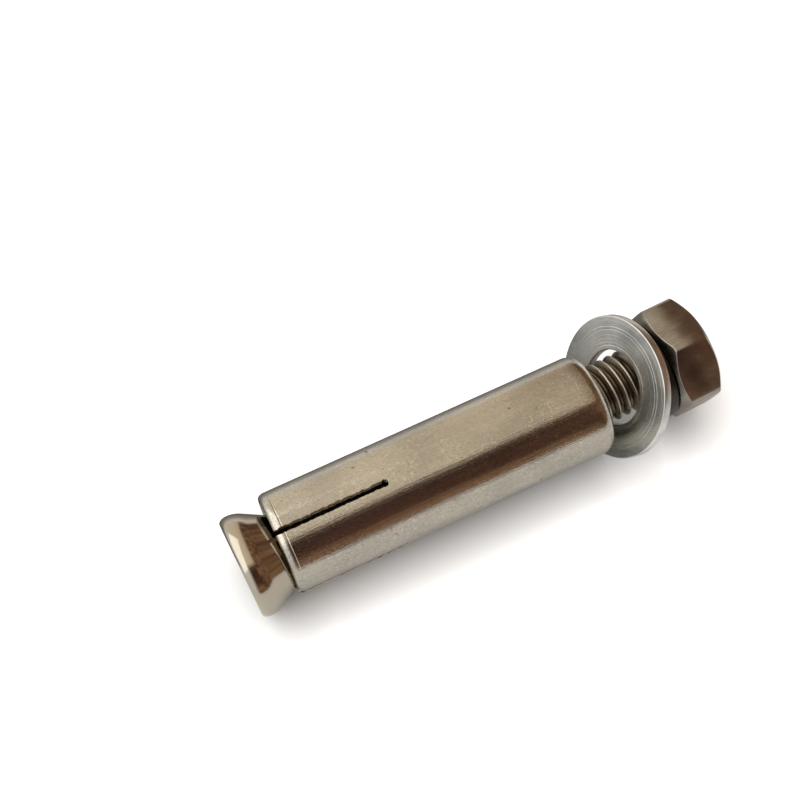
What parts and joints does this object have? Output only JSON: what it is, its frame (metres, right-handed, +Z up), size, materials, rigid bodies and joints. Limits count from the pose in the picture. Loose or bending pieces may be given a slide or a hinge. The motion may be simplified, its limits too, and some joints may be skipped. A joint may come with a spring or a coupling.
{
  "type": "expansion bolt",
  "caption": "Expansion bolt: cone-headed stud with a slotted sleeve, flat washer, split spring washer and hexagon nut, lying loose on its side.",
  "frame": {"origin": "middle of the length, centred across, on the surface that the bolt lies on", "axes": "+X from the cone end to the nut end, with the bolt's own axis rising 2.32 degrees towards the nut; +Z up from the surface; +Y to the left seen from the cone end"},
  "size_m": [0.0483, 0.0136, 0.0127],
  "materials": {
    "bolt_steel": "bright turned and rolled steel, brown-grey in its reflections",
    "sleeve_steel": "bright rolled sheet with a fine grain along its length and small pits",
    "washer_steel": "matt punched sheet",
    "spring_steel": "satin wire",
    "nut_steel": "bright pressed and chamfered steel"
  },
  "bodies": {
    "bolt": {"cone_bolt": "bolt_steel"},
    "sleeve": {"expansion_sleeve": "sleeve_steel"},
    "washer": {"flat_washer": "washer_steel"},
    "spring_ring": {"spring_washer": "spring_steel"},
    "nut": {"hex_nut": "nut_steel"}
  },
  "joints": [
    {"name": "sleeve_slide", "type": "slide", "parent": "bolt", "child": "sleeve", "axis": [0.9992, 0, 0.0405], "range_m": [-0.00025, 0]},
    {"name": "washer_tilt", "type": "hinge", "parent": "bolt", "child": "washer", "pos_m": [0.01262, 0, 0.00229], "axis": [0, 1, 0], "range_deg": [-27, 0]},
    {"name": "nut_travel", "type": "slide", "parent": "bolt", "child": "spring_ring", "axis": [0.9992, 0, 0.0405], "range_m": [-0.0042, 0]},
    {"name": "nut_turn", "type": "hinge", "parent": "spring_ring", "child": "nut", "pos_m": [0.02129, 0, 0.00671], "axis": [0.9992, 0, 0.0405], "range_deg": [-1512, 0]}
  ],
  "couplings": [
    {"joint": "nut_turn", "follows": "nut_travel", "rad_per_m": 6283.1},
    {"joint": "washer_tilt", "follows": "nut_travel", "rad_per_m": 112.19}
  ]
}
